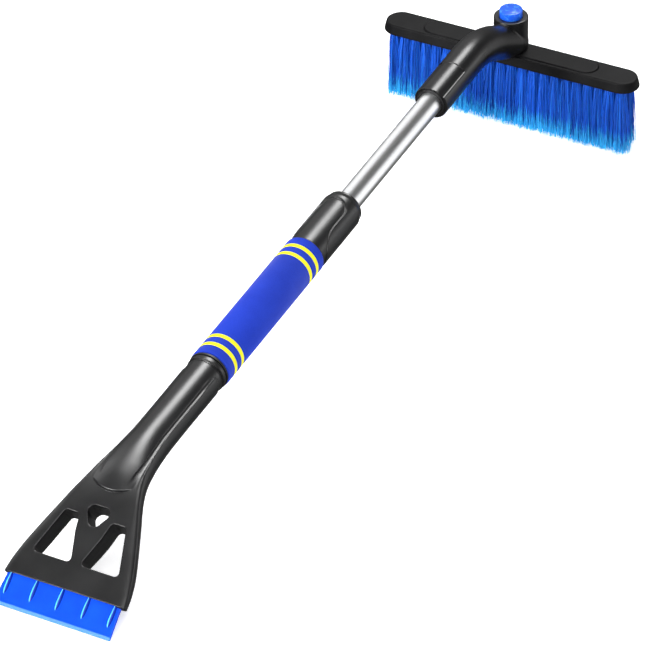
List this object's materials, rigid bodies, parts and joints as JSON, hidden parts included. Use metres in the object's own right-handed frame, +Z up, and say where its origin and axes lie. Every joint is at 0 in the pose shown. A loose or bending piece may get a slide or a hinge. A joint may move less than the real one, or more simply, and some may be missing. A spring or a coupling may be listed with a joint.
{
  "type": "snow brush with ice scraper",
  "caption": "Telescoping snow brush for a car: a bristle head that swivels on a bent neck, a foam grip with a twist lock collar, and a pull-off ice scraper.",
  "frame": {"origin": "middle of the tool on the floor under it, lying on its bristle tips and its blade edge", "axes": "+X along the brush block, +Y along the pole from the scraper to the brush, +Z up"},
  "size_m": [0.27, 0.886, 0.1346],
  "materials": {
    "black_plastic": "satin moulded black",
    "blue_plastic": "glossy bright blue",
    "aluminium": "satin drawn tube",
    "blue_foam": "matte closed-cell foam, royal blue",
    "yellow_stripe": "matte yellow foam band",
    "bristle": "nylon bristle, royal blue with paler split tips",
    "steel": "bright zinc plated"
  },
  "bodies": {
    "handle": {"outer_tube": "aluminium", "collet": "black_plastic", "foam_grip": "blue_foam", "grip_stripes": "yellow_stripe", "lower_plug": "black_plastic", "lower_latch_spring": "steel"},
    "lock_collar": {"lock_collar": "black_plastic"},
    "inner_pole": {"inner_tube": "aluminium", "top_plug": "black_plastic", "guide_rings": "black_plastic", "top_latch_spring": "steel"},
    "neck": {"neck_arm": "black_plastic"},
    "brush_head": {"brush_cover": "black_plastic", "tuft_plate": "black_plastic", "tufts_front": "bristle", "tufts_middle": "bristle", "tufts_rear": "bristle", "pivot_post": "black_plastic", "post_screws": "steel", "pivot_washer": "steel", "pivot_screw": "steel", "button_spring": "steel"},
    "lock_ring": {"lock_ring": "black_plastic"},
    "release_button": {"release_button": "blue_plastic"},
    "top_latch": {"top_latch": "black_plastic"},
    "lower_latch": {"lower_latch": "black_plastic"},
    "scraper": {"scraper_head": "black_plastic", "scraper_blade": "blue_plastic"}
  },
  "joints": [
    {"name": "collar_twist", "type": "hinge", "parent": "handle", "child": "lock_collar", "pos_m": [0, 0.08294, 0.09921], "axis": [0, -0.9972, -0.075], "range_deg": [0, 90]},
    {"name": "pole_slide", "type": "slide", "parent": "handle", "child": "inner_pole", "axis": [0, -0.9972, -0.075], "range_m": [0, 0.17]},
    {"name": "neck_pull_off", "type": "slide", "parent": "inner_pole", "child": "neck", "axis": [0, 0.9972, 0.075], "range_m": [0, 0.062]},
    {"name": "brush_swivel", "type": "hinge", "parent": "neck", "child": "brush_head", "pos_m": [0, 0.42597, 0.08], "axis": [0, 0, 1], "continuous": true},
    {"name": "button_press", "type": "slide", "parent": "neck", "child": "release_button", "axis": [0, 0, -1], "range_m": [0, 0.004], "stiffness_N_per_m": 600, "springref_m": -0.004},
    {"name": "ring_release", "type": "slide", "parent": "brush_head", "child": "lock_ring", "axis": [0, 0, -1], "range_m": [0, 0.004], "deforming": ["button_spring"]},
    {"name": "top_latch_press", "type": "slide", "parent": "inner_pole", "child": "top_latch", "axis": [0, -0.075, 0.9972], "range_m": [0, 0.0019], "stiffness_N_per_m": 900, "springref_m": -0.003, "deforming": ["top_latch_spring"]},
    {"name": "lower_latch_press", "type": "slide", "parent": "handle", "child": "lower_latch", "axis": [0, -0.075, 0.9972], "range_m": [0, 0.0018], "stiffness_N_per_m": 900, "springref_m": -0.003, "deforming": ["lower_latch_spring"]},
    {"name": "scraper_pull_off", "type": "slide", "parent": "handle", "child": "scraper", "axis": [0, -0.9972, -0.075], "range_m": [0, 0.062]}
  ],
  "couplings": [
    {"joint": "ring_release", "follows": "button_press", "ratio": 1}
  ]
}
